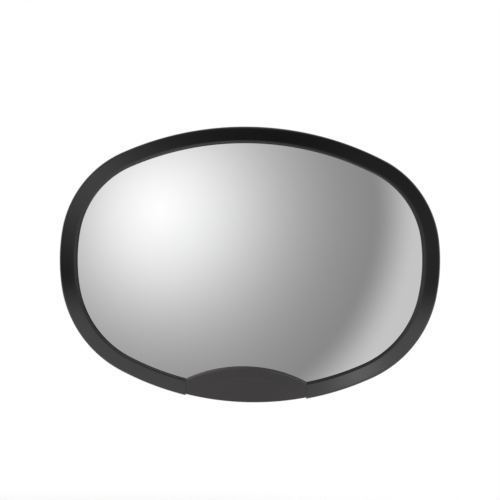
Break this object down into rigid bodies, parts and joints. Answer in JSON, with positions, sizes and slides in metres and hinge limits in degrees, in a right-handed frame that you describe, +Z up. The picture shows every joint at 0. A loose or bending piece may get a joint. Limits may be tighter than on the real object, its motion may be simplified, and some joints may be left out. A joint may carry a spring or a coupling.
{
  "type": "convex security mirror",
  "caption": "Oblong domed acrylic mirror in a black rim with a lower cover, on a wall bracket that pans, tilts and rolls.",
  "frame": {"origin": "centre of the wall pad's back face, on the wall", "axes": "+Z up, +Y into the wall, the mirror looks along -Y, +X to the right as the viewer in front of the mirror sees it"},
  "size_m": [0.3998, 0.213, 0.2852],
  "materials": {
    "wall_pad": "matt black EVA rubber",
    "plate_steel": "black powder coat, fine texture",
    "arm_steel": "black powder coat, satin",
    "zinc": "bright zinc plate",
    "spring_steel": "oiled spring steel",
    "cast_black": "black coated die casting",
    "nylon_white": "natural nylon",
    "nylon_black": "black glass-filled nylon, fine grain",
    "knob_plastic": "black moulded nylon, satin",
    "brass": "machined brass",
    "disc_fibre": "pressed friction fibre",
    "shell_abs": "black ABS, fine spark-eroded grain",
    "foam": "closed-cell polyethylene foam",
    "mirror": "back-silvered acrylic",
    "gasket": "black EPDM strip",
    "rim_abs": "black ABS, satin polish",
    "cover_abs": "black ABS, satin polish, slightly warmer than the rim",
    "screw_black": "black oxide"
  },
  "bodies": {
    "wall": {"wall_pad": "wall_pad", "wall_plate": "plate_steel", "pan_bolt": "zinc", "pan_washers": "zinc", "pan_nut": "zinc"},
    "arm": {"wall_eye": "cast_black", "pan_bushes": "nylon_white", "arm_tube": "arm_steel", "arm_pins": "spring_steel", "tilt_fork": "cast_black", "tilt_bolt": "zinc", "tilt_washer": "zinc"},
    "knob": {"tilt_knob": "knob_plastic", "knob_insert": "brass"},
    "knuckle": {"tilt_knuckle": "cast_black", "friction_discs": "disc_fibre", "roll_washer": "zinc", "roll_screw": "zinc"},
    "head": {"swivel_hub": "nylon_black", "hub_screws": "zinc", "stiffener_plate": "zinc", "back_shell": "shell_abs", "foam_pad": "foam", "mirror_lens": "mirror", "edge_gasket": "gasket", "rim_frame": "rim_abs", "rim_screws": "screw_black", "lower_cover": "cover_abs", "cover_screws": "screw_black"},
    "lock": {"lock_screw": "zinc", "lock_knob": "knob_plastic"}
  },
  "joints": [
    {"name": "pan", "type": "hinge", "parent": "wall", "child": "arm", "pos_m": [0, -0.032, 0], "axis": [0, 0, 1], "range_deg": [-30, 30]},
    {"name": "tilt", "type": "hinge", "parent": "arm", "child": "knuckle", "pos_m": [0, -0.132, 0], "axis": [1, 0, 0], "range_deg": [-30, 30]},
    {"name": "roll", "type": "hinge", "parent": "knuckle", "child": "head", "pos_m": [0, -0.17, 0], "axis": [0, 1, 0], "range_deg": [-90, 90]},
    {"name": "knob_turn", "type": "hinge", "parent": "arm", "child": "knob", "pos_m": [0.028, -0.132, 0], "axis": [1, 0, 0], "range_deg": [0, 270]},
    {"name": "lock_turn", "type": "hinge", "parent": "head", "child": "lock", "pos_m": [0, -0.166, -0.03], "axis": [0, 0, -1], "range_deg": [0, 270]}
  ]
}
